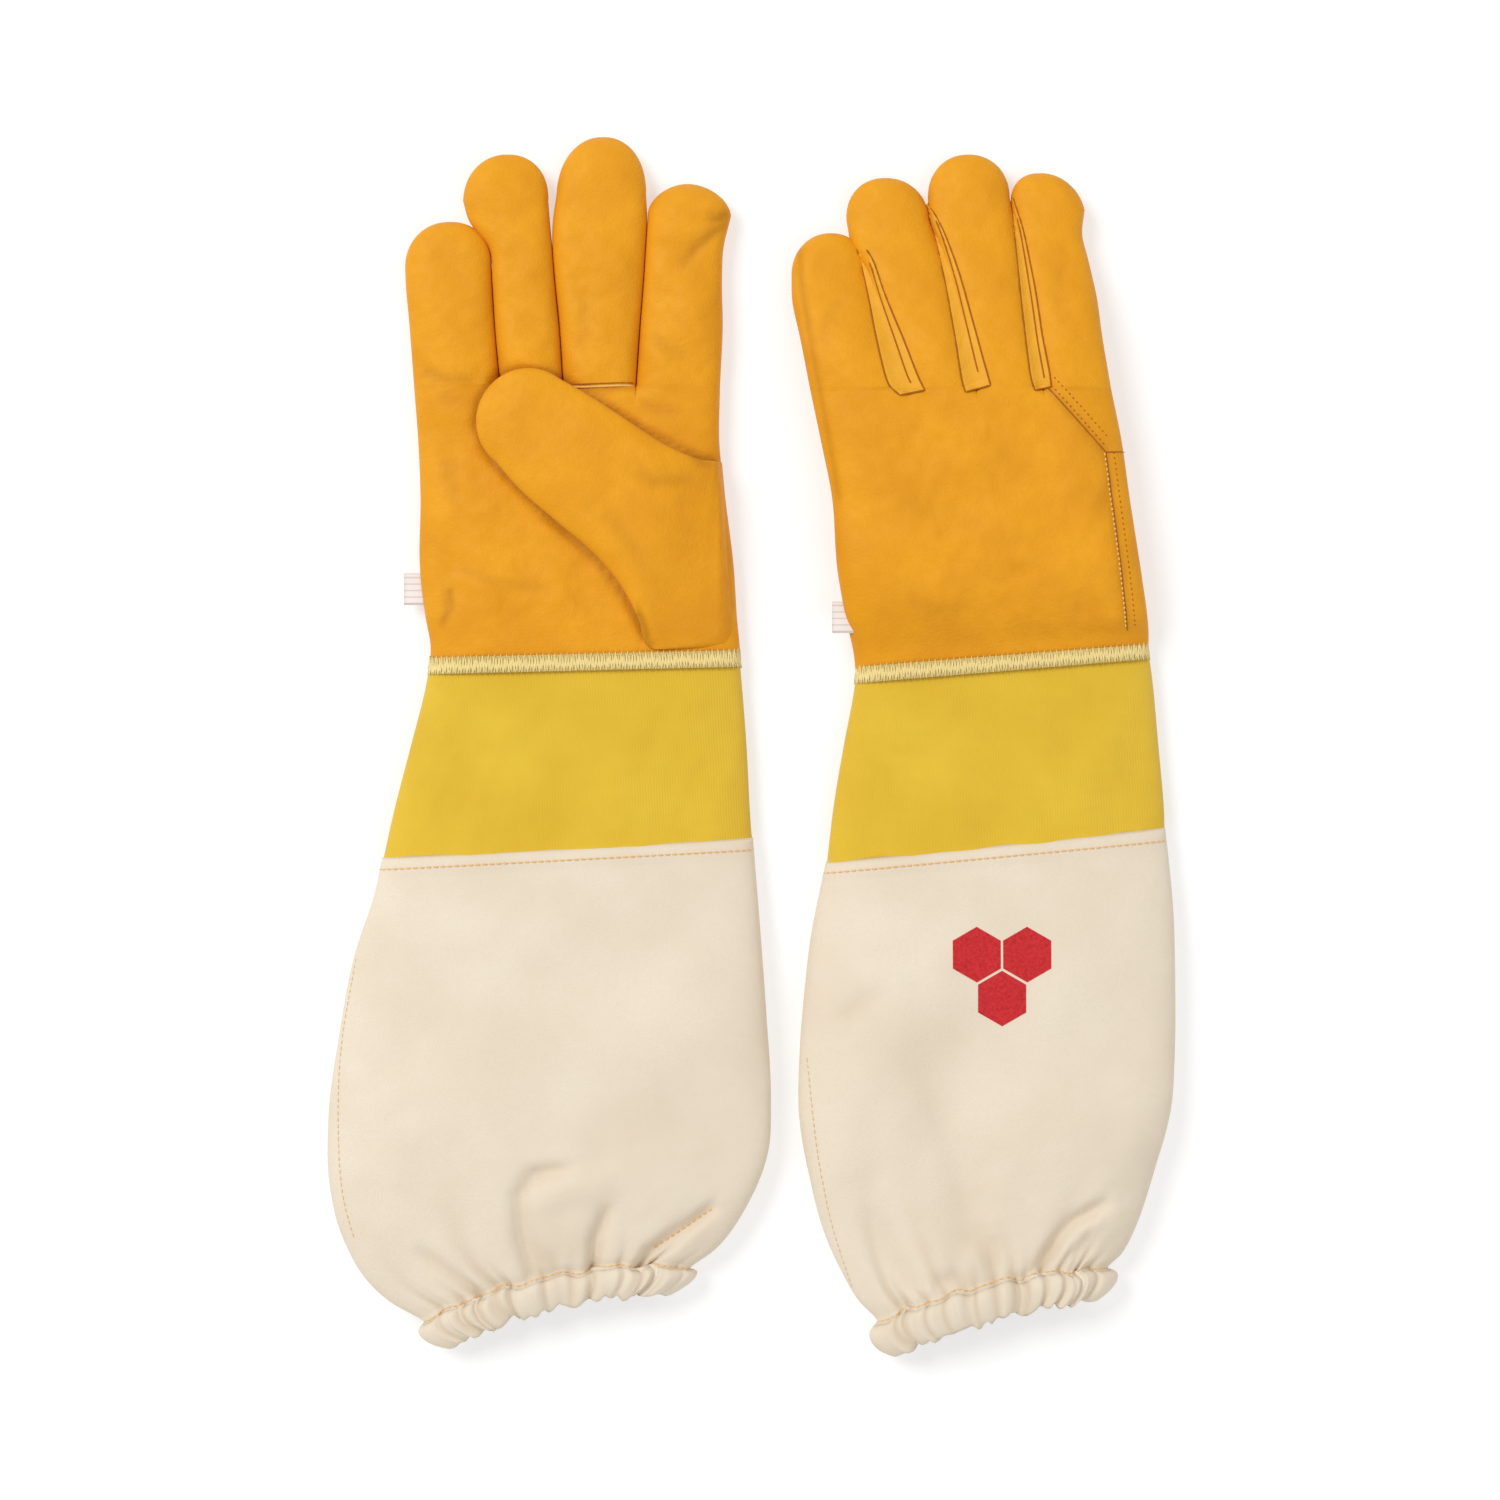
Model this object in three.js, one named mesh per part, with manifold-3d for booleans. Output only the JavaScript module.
// A pair of long beekeeping gloves lying side by side: leather hands, cotton wrist bands and canvas
// sleeves that an elastic gathers at the hem. The right-hand glove lies palm up with its thumb folded
// over the palm, the left-hand glove palm down with its thumb folded under it.
//
// Millimetres, +Z up, the table at z = 0, the fingers towards +Y. The origin is the middle of the
// footprint. Each glove is made of flat soft tubes. Every tube is sewn from two half shells, a crown
// half above and a keel half below, that meet at a seam along both edges.

import * as THREE from "three";
import { mergeVertices } from "three/addons/utils/BufferGeometryUtils.js";
import Module from "manifold-3d";

// ---------------------------------------------------------------- driving dimensions

const LEATHER = 1.2; // wall thickness of the hide
const COTTON = 1.2; // wall thickness of the wrist band
const CANVAS = 1.0; // wall thickness of the sleeve
const OVERLOCK = 1.8; // thickness of the overlocked thread
const LABEL = 0.5;

const SEAM_GAP = 0.3; // between neighbouring pieces
const HINGE_GAP = 1.4; // between a finger and the hand it bends on
const KNUCKLE_Y = 152; // the line that the four fingers bend on
const FOURCHETTE_START = 12; // from that line to the strip between two fingers
const FOURCHETTE_HEIGHT = 7;
const FOURCHETTE_WIDTH = 1.2;

const ROUNDNESS = 0.72; // power of sine and cosine in a tube's section: 1 is an ellipse, 0 a box
const FLATNESS = 1.07; // how much of the rise is cut off flat at the crown and the keel
const HALF_STEPS = 12; // facets in half a wide tube
const FINGER_STEPS = 6; // facets in half a finger
const TIP_STEPS = 3; // rows of facets round a fingertip
const TIP_BLUNTNESS = 0.36; // width of the straight end of a tip, as a share of the finger's

const HEM_DEPTH = 3.6; // from the outside of the hem casing to its inner wall's inside
const ELASTIC = 0.9; // thickness of the elastic band
// The cut in the palm's edge: along from the hinge's end, and how far it stops short of the seam.
const THUMB_HOLE = { inside: 13, from: 16, to: 62, above: 0.6 };

const HAND_HEIGHT = 17;
const HAND_SEAM = 7.5; // height of the side seam above the underside of the hand
const SHOULDER_HEIGHT = 15; // height of a finger where its round tip begins
const SHOULDER_SEAM = 7;
const THUMB_HEIGHT = 11;
const STRIP_START = 0.8; // where the side strip begins, as a share of the way across the back
const STRIP_GAP = 0.004; // between the back panel and the side strip, as a share of the same way
const STRIP_STEPS = 3; // facets in the side strip
const ELASTIC_REACH = 0.12; // from either end of the hem to the elastic, as a share of the hem
const ELASTIC_CLEARANCE = 0.1; // from the channel's floor to the elastic, as a share of the hem

// Each section of a tube is [left x, left y, right x, right y, keel, seam, crown].
// A finger is its edges at the knuckle line and where its round tip begins, and its length.
const RIGHT_GLOVE = {
  side: "right",
  palmFace: 1,
  handLift: 0,
  hand: [
    [-130.4, 38.6, -3.8, 41.4, 0, 6.5, 15],
    [-131.3, 64, -5.6, 64, 0, 7.4, HAND_HEIGHT],
    [-132, 105, -10.6, 105, 0, 7.5, HAND_HEIGHT],
    [-134.6, KNUCKLE_Y, -11.8, KNUCKLE_Y, 0, 7.5, HAND_HEIGHT],
  ],
  overlock: [
    [-130.6, 38.2, -3.6, 41, 0, 6.5, 15],
    [-131, 30.4, -3, 33.2, 0, 6.5, 15],
  ],
  band: [
    [-131, 29.4, -3, 32.2, 0, 6.5, 15],
    [-137.2, 2, -1.2, 2, 0, 7, 16],
    [-147, -43.6, 1, -35.2, 0, 8, 18],
  ],
  sleeve: [
    [-147.2, -44.2, 1.2, -35.8, 0, 8, 18],
    [-157.6, -78, 4, -68, 0, 9.5, 22],
    [-165.2, -118, 6.8, -106, 0, 10.5, 25],
    [-168.8, -148, 8.4, -140, 0, 10.5, 25],
    [-168, -176, 6.4, -164, 0, 10.5, 25],
    [-162, -196, -0.8, -180, 0, 10.3, 24],
    [-151.2, -214, -11.2, -195.2, 0, 9.5, 22],
    [-134, -230, -21.6, -208, 0, 8.5, 19.5],
  ],
  hemEnd: [-125.6, -239.5, -26, -215.2, 0, 8.3, 19],
  fingers: {
    little: { base: [-134.8, -101.5], shoulder: [-138, -106.8, 197], tip: 211 },
    ring: { base: [-98.5, -76.3], shoulder: [-106.7, -80.8, 222], tip: 237 },
    middle: { base: [-73.3, -46.7], shoulder: [-78.2, -41.6, 229], tip: 245 },
    index: { base: [-43.7, -12], shoulder: [-39.8, -8.6, 211], tip: 226.6 },
  },
  thumb: {
    hingeX: -9,
    sections: [
      [-10, 46.5, -10, 114.5],
      [-40, 50, -22, 116.5],
      [-58, 75, -42, 125.5],
      [-89, 106, -66.5, 142.5],
    ],
    tipLength: 23,
  },
  label: { x: [-138.6, -131.7], y: [58, 70.8], z: 7.2 },
};

const LEFT_GLOVE = {
  side: "left",
  palmFace: -1,
  handLift: THUMB_HEIGHT + SEAM_GAP,
  hand: [
    [42.6, 34.4, 159.2, 43.6, 0, 6.5, 15],
    [36.5, 60, 157.2, 62, 11.3, 18.6, 28.3],
    [31, 105, 150.6, 105, 11.3, 18.8, 28.3],
    [22.6, KNUCKLE_Y, 143, KNUCKLE_Y, 11.3, 18.8, 28.3],
  ],
  overlock: [
    [42.6, 34, 159.2, 43.2, 0, 6.5, 15],
    [42.2, 26.4, 160, 36.4, 0, 6.5, 15],
  ],
  band: [
    [42.2, 25.4, 160, 35.4, 0, 6.5, 15],
    [37.6, 2, 163.6, 2, 0, 7, 16],
    [30.8, -45.4, 166, -31.4, 0, 8, 18],
  ],
  sleeve: [
    [30.6, -46, 166.2, -32, 0, 8, 18],
    [24.8, -70, 168.8, -62, 0, 9.5, 22],
    [22, -94, 170, -94, 0, 10.5, 25],
    [19.6, -124, 169.6, -124, 0, 10.5, 25],
    [18.8, -146, 168.4, -144, 0, 10.5, 25],
    [23.2, -172, 162.4, -166, 0, 10.3, 24],
    [31.2, -200, 154.4, -190, 0, 9.5, 22],
    [45, -231, 147.4, -206, 0, 8.5, 19.5],
  ],
  hemEnd: [50, -244.6, 144.4, -216.6, 0, 8.3, 19],
  fingers: {
    little: { base: [22.4, 60.5], shoulder: [17, 46.3, 190], tip: 205 },
    ring: { base: [63.5, 88.5], shoulder: [40.4, 70.1, 214], tip: 228.6 },
    middle: { base: [91.5, 113.3], shoulder: [70.1, 102.3, 224], tip: 238 },
    index: { base: [116.3, 142.8], shoulder: [106.4, 134.4, 217], tip: 230.6 },
  },
  thumb: {
    hingeX: 150,
    sections: [
      [149, 58, 149, 122],
      [120, 60.5, 138, 124],
      [102, 82, 118, 130.5],
      [72, 108, 93, 143.5],
    ],
    tipLength: 21,
  },
  label: { x: [32.8, 37.2], y: [47, 59.4], z: 15 },
};

// ---------------------------------------------------------------- materials

const cloth = (color, roughness) => new THREE.MeshStandardMaterial({ color, roughness, metalness: 0 });
const leather = () => cloth(0xeaa42a, 0.62);
const paleLeather = () => cloth(0xf0ae3e, 0.62);
const yellowCotton = () => cloth(0xe4bc42, 0.9);
const creamCanvas = () => cloth(0xecdfc9, 0.95);
const creamThread = () => cloth(0xecd08c, 0.8);
const whiteElastic = () => cloth(0xf2efe8, 0.85);
const whiteSatin = () => cloth(0xf4ebe4, 0.6);

// ---------------------------------------------------------------- sections of soft tubes

const mix = THREE.MathUtils.lerp;
const signedPower = (value, power) => Math.sign(value) * Math.abs(value) ** power;

function section([leftX, leftY, rightX, rightY, keel, seam, crown]) {
  return {
    left: new THREE.Vector2(leftX, leftY),
    right: new THREE.Vector2(rightX, rightY),
    keel,
    seam,
    crown,
  };
}

/** The same section with every wall moved inwards. */
function inset(outer, depth) {
  const inwards = outer.right.clone().sub(outer.left).normalize().multiplyScalar(depth);
  return {
    left: outer.left.clone().add(inwards),
    right: outer.right.clone().sub(inwards),
    keel: outer.keel + depth,
    seam: outer.seam,
    crown: outer.crown - depth,
  };
}

/** The same section moved along the glove. */
function shifted(outer, along) {
  const move = new THREE.Vector2(0, along);
  return { ...outer, left: outer.left.clone().add(move), right: outer.right.clone().add(move) };
}

/** A point of a section: turn runs from 0 at the left edge to 1 at the right, over face 1 or under -1. */
function onSection(shape, turn, face, gap) {
  const angle = Math.PI * turn;
  const across = (1 - signedPower(Math.cos(angle), ROUNDNESS)) / 2;
  const rise = Math.min(1, FLATNESS * Math.abs(Math.sin(angle)) ** ROUNDNESS);
  const height = face > 0 ? shape.crown - shape.seam : shape.seam - shape.keel;
  const plan = shape.left.clone().lerp(shape.right, across);
  return new THREE.Vector3(plan.x, plan.y, shape.seam + face * (gap + Math.max(0, height - gap) * rise));
}

// ---------------------------------------------------------------- closed solids

/** Turns loops of equal length into one closed mesh, as a ring of loops or as a strip with thin ends. */
function sweep(loops, isRing) {
  const around = loops[0].length;
  const corner = (row, column) => (row % loops.length) * around + (column % around);
  const faces = [];
  const quad = (a, b, c, d) => faces.push(a, b, c, a, c, d);
  const spans = isRing ? loops.length : loops.length - 1;
  for (let row = 0; row < spans; row += 1) {
    for (let column = 0; column < around; column += 1) {
      const [here, next] = [corner(row, column), corner(row, column + 1)];
      quad(here, next, corner(row + 1, column + 1), corner(row + 1, column));
    }
  }
  if (!isRing) {
    const last = loops.length - 1;
    for (let column = 0; column < around / 2 - 1; column += 1) {
      const opposite = around - 1 - column;
      const [near, far] = [corner(last, column), corner(last, opposite)];
      quad(corner(0, column), corner(0, opposite), corner(0, opposite - 1), corner(0, column + 1));
      quad(near, corner(last, column + 1), corner(last, opposite - 1), far);
    }
  }
  const geometry = new THREE.BufferGeometry();
  const points = loops.flat().flatMap((point) => [point.x, point.y, point.z]);
  geometry.setAttribute("position", new THREE.Float32BufferAttribute(points, 3));
  geometry.setIndex(volume(loops.flat(), faces) < 0 ? faces.reverse() : faces);
  return geometry;
}

function volume(points, faces) {
  let total = 0;
  for (let i = 0; i < faces.length; i += 3) {
    const [a, b, c] = [points[faces[i]], points[faces[i + 1]], points[faces[i + 2]]];
    total += a.dot(b.clone().cross(c)) / 6;
  }
  return total;
}

/** A panel: half a tube's wall, on one face, between two turns of the section. */
function panel(outer, inner, face, steps, [from, to] = [0, 1]) {
  const turns = Array.from({ length: steps + 1 }, (_, i) => mix(from, to, i / steps));
  const gap = SEAM_GAP / 2;
  const loops = outer.map((shape, row) => [
    ...turns.map((turn) => onSection(shape, turn, face, gap)),
    ...turns.toReversed().map((turn) => onSection(inner[row], turn, face, gap)),
  ]);
  return sweep(loops, false);
}

/** All the way round a section. */
function loop(shape) {
  const turns = Array.from({ length: HALF_STEPS }, (_, i) => i / HALF_STEPS);
  return [
    ...turns.map((turn) => onSection(shape, turn, 1, 0)),
    ...turns.map((turn) => onSection(shape, 1 - turn, -1, 0)),
  ];
}

/** A hoop of cloth between the first and the last section. */
function hoop(sections, thickness) {
  const outside = sections.map((shape) => loop(shape));
  const inside = sections.map((shape) => loop(inset(shape, thickness)));
  return sweep([...outside, ...inside.toReversed()], true);
}

// ---------------------------------------------------------------- sub-parts

const wall = (sections, thickness) => sections.map((shape) => inset(shape, thickness));

function part(name, geometry, material) {
  const mesh = new THREE.Mesh(geometry, material);
  mesh.name = name;
  return mesh;
}

/** Sections of a finger from the knuckle to its round tip, with every wall moved in by depth. */
function fingerSections(glove, finger, depth) {
  const lift = glove.handLift;
  const base = section([finger.base[0], 0, finger.base[1], 0, lift, lift + HAND_SEAM, lift + HAND_HEIGHT]);
  base.left.y = KNUCKLE_Y + HINGE_GAP;
  base.right.y = base.left.y;
  const [left, right, height] = finger.shoulder;
  const shoulder = section([left, height, right, height, 0, SHOULDER_SEAM, SHOULDER_HEIGHT]);
  const near = inset(base, depth);
  const far = inset(shoulder, depth);
  const halfway = {
    left: near.left.clone().lerp(far.left, 0.5),
    right: near.right.clone().lerp(far.right, 0.5),
    keel: mix(near.keel, far.keel, 0.5),
    seam: mix(near.seam, far.seam, 0.5),
    crown: mix(near.crown, far.crown, 0.5),
  };
  const ahead = centre(shoulder).sub(centre(base)).normalize();
  return [near, halfway, far, ...tipSections(far, ahead, finger.tip - height - depth)];
}

const centre = (shape) => shape.left.clone().add(shape.right).multiplyScalar(0.5);

/** The round end of a finger: the width and the height both shrink along a quarter turn. */
function tipSections(last, ahead, length) {
  const middle = centre(last);
  const blunt = Math.acos(TIP_BLUNTNESS);
  return Array.from({ length: TIP_STEPS }, (_, i) => {
    const step = (i + 1) / TIP_STEPS;
    const narrow = Math.cos(blunt * step);
    const thin = i + 1 < TIP_STEPS ? Math.cos((Math.PI / 2) * step) : 0;
    const onward = ahead.clone().multiplyScalar((length * Math.sin(blunt * step)) / Math.sin(blunt));
    const edge = (side) => middle.clone().lerp(side, narrow).add(onward);
    return {
      left: edge(last.left),
      right: edge(last.right),
      keel: mix(last.seam, last.keel, thin),
      seam: last.seam,
      crown: mix(last.seam, last.crown, thin),
    };
  });
}

function fingerParts(glove) {
  return Object.entries(glove.fingers).flatMap(([name, finger]) => {
    const outer = fingerSections(glove, finger, 0);
    const inner = fingerSections(glove, finger, LEATHER);
    const label = `${glove.side}_${name}_finger`;
    return [
      part(`${label}_front`, panel(outer, inner, glove.palmFace, FINGER_STEPS), leather()),
      part(`${label}_back`, panel(outer, inner, -glove.palmFace, FINGER_STEPS), leather()),
    ];
  });
}

/** The strip of hide sewn in between two fingers, standing in the middle of the gap between them. */
function fourchette(glove, nameA, nameB) {
  const [a, b] = [glove.fingers[nameA], glove.fingers[nameB]];
  const shorter = a.tip < b.tip ? a : b;
  const slope = (edge, base, finger) => (edge - base) / (finger.shoulder[2] - KNUCKLE_Y);
  const gapAt = (y) => {
    const right = a.base[1] + slope(a.shoulder[1], a.base[1], a) * (y - KNUCKLE_Y);
    const left = b.base[0] + slope(b.shoulder[0], b.base[0], b) * (y - KNUCKLE_Y);
    return (right + left) / 2;
  };
  const [from, to] = [KNUCKLE_Y + FOURCHETTE_START, shorter.shoulder[2]];
  const half = FOURCHETTE_WIDTH / 2;
  const outline = new THREE.Shape();
  outline.moveTo(gapAt(from) - half, from);
  outline.lineTo(gapAt(from) + half, from);
  outline.lineTo(gapAt(to) + half, to);
  outline.lineTo(gapAt(to) - half, to);
  outline.closePath();
  const geometry = new THREE.ExtrudeGeometry(outline, { depth: FOURCHETTE_HEIGHT, bevelEnabled: false });
  const fall = glove.handLift / (shorter.tip - KNUCKLE_Y);
  geometry.applyMatrix4(new THREE.Matrix4().makeShear(0, 0, 0, -fall, 0, 0));
  const seam = glove.handLift + HAND_SEAM + fall * KNUCKLE_Y;
  geometry.translate(0, 0, seam - FOURCHETTE_HEIGHT / 2);
  return part(`${glove.side}_${nameA}_${nameB}_fourchette`, geometry, paleLeather());
}

function thumbParts(glove) {
  const keel = glove.palmFace > 0 ? HAND_HEIGHT + SEAM_GAP : 0;
  const heights = [keel, keel + THUMB_HEIGHT / 2, keel + THUMB_HEIGHT];
  const outer = glove.thumb.sections.map((edges) => section([...edges, ...heights]));
  const inner = wall(outer, LEATHER);
  const ahead = centre(outer.at(-1)).sub(centre(outer.at(-2))).normalize();
  const outerTip = tipSections(outer.at(-1), ahead, glove.thumb.tipLength);
  const innerTip = tipSections(inner.at(-1), ahead, glove.thumb.tipLength - LEATHER);
  const shells = [[...outer, ...outerTip], [...inner, ...innerTip]];
  return [
    part(`${glove.side}_thumb_outer`, panel(...shells, glove.palmFace, FINGER_STEPS + 2), leather()),
    part(`${glove.side}_thumb_inner`, panel(...shells, -glove.palmFace, FINGER_STEPS + 2), leather()),
  ];
}

const wasm = await Module();
wasm.setup();

function toManifold(geometry) {
  const bare = geometry.clone();
  bare.deleteAttribute("normal");
  bare.deleteAttribute("uv");
  const merged = mergeVertices(bare);
  const vertProperties = new Float32Array(merged.attributes.position.array);
  const triVerts = new Uint32Array(merged.index.array);
  return new wasm.Manifold(new wasm.Mesh({ numProp: 3, vertProperties, triVerts }));
}

function cut(geometry, tool) {
  const mesh = toManifold(geometry).subtract(toManifold(tool)).getMesh();
  const result = new THREE.BufferGeometry();
  result.setAttribute("position", new THREE.BufferAttribute(mesh.vertProperties, 3));
  result.setIndex(new THREE.BufferAttribute(mesh.triVerts, 1));
  return result;
}

/** A block that takes away the palm's edge beside the thumb, so that the thumb opens into the hand. */
function thumbHole(glove) {
  const { inside, from, to, above } = THUMB_HOLE;
  const start = glove.thumb.sections[0][1];
  const block = new THREE.BoxGeometry(inside * 2, to - from, HAND_HEIGHT * 2);
  const seam = glove.handLift + HAND_SEAM;
  const away = glove.palmFace * (HAND_HEIGHT + above);
  block.translate(glove.thumb.hingeX, start + (from + to) / 2, seam + away);
  return block;
}

function handParts(glove) {
  const outer = glove.hand.map(section);
  const inner = wall(outer, LEATHER);
  const palm = panel(outer, inner, glove.palmFace, HALF_STEPS);
  const back = panel(outer, inner, -glove.palmFace, HALF_STEPS - 2, [0, STRIP_START]);
  const strip = panel(outer, inner, -glove.palmFace, STRIP_STEPS, [STRIP_START + STRIP_GAP, 1]);
  return [
    part(`${glove.side}_palm_panel`, cut(palm, thumbHole(glove)), leather()),
    part(`${glove.side}_back_panel`, back, leather()),
    part(`${glove.side}_side_strip`, strip, paleLeather()),
    part(`${glove.side}_overlock_seam`, hoop(glove.overlock.map(section), OVERLOCK), creamThread()),
    sizeLabel(glove),
  ];
}

/** A woven tag caught in the seam on the little finger's side. */
function sizeLabel(glove) {
  const { x, y, z } = glove.label;
  const geometry = new THREE.BoxGeometry(x[1] - x[0], y[1] - y[0], LABEL);
  geometry.translate((x[0] + x[1]) / 2, (y[0] + y[1]) / 2, z);
  return part(`${glove.side}_size_label`, geometry, whiteSatin());
}

/** The section moved part of the way to another one, without changing its heights. */
function towards(from, to, share) {
  return {
    ...from,
    left: from.left.clone().lerp(to.left, share),
    right: from.right.clone().lerp(to.right, share),
  };
}

/** The turned-up hem: a channel all round that is open towards the sleeve, with the elastic in it. */
function hemParts(glove) {
  const start = shifted(section(glove.sleeve.at(-1)), -SEAM_GAP);
  const end = section(glove.hemEnd);
  const short = towards(end, start, ELASTIC_REACH);
  const near = towards(start, end, ELASTIC_REACH);
  const channelFloor = HEM_DEPTH - CANVAS;
  const casing = [
    loop(start),
    loop(end),
    loop(inset(end, HEM_DEPTH)),
    loop(inset(start, HEM_DEPTH)),
    loop(inset(start, channelFloor)),
    loop(inset(short, channelFloor)),
    loop(inset(short, CANVAS)),
    loop(inset(start, CANVAS)),
  ];
  const depth = (HEM_DEPTH - ELASTIC) / 2;
  const last = towards(short, start, ELASTIC_CLEARANCE);
  const elastic = [
    loop(inset(near, depth)),
    loop(inset(last, depth)),
    loop(inset(last, depth + ELASTIC)),
    loop(inset(near, depth + ELASTIC)),
  ];
  return [
    part(`${glove.side}_hem_casing`, sweep(casing, true), creamCanvas()),
    part(`${glove.side}_hem_elastic`, sweep(elastic, true), whiteElastic()),
  ];
}

function sleeveParts(glove) {
  const outer = glove.sleeve.map(section);
  const inner = wall(outer, CANVAS);
  return [
    part(`${glove.side}_wrist_band`, hoop(glove.band.map(section), COTTON), yellowCotton()),
    part(`${glove.side}_sleeve_top`, panel(outer, inner, 1, HALF_STEPS), creamCanvas()),
    part(`${glove.side}_sleeve_bottom`, panel(outer, inner, -1, HALF_STEPS), creamCanvas()),
    ...hemParts(glove),
  ];
}

function gloveGroup(glove) {
  const group = new THREE.Group();
  group.add(
    ...handParts(glove),
    ...fingerParts(glove),
    fourchette(glove, "little", "ring"),
    fourchette(glove, "ring", "middle"),
    fourchette(glove, "middle", "index"),
    ...thumbParts(glove),
    ...sleeveParts(glove),
  );
  return group;
}

const gloves = new THREE.Group();
gloves.name = "beekeeping_gloves";
gloves.add(gloveGroup(RIGHT_GLOVE), gloveGroup(LEFT_GLOVE));

export default gloves;
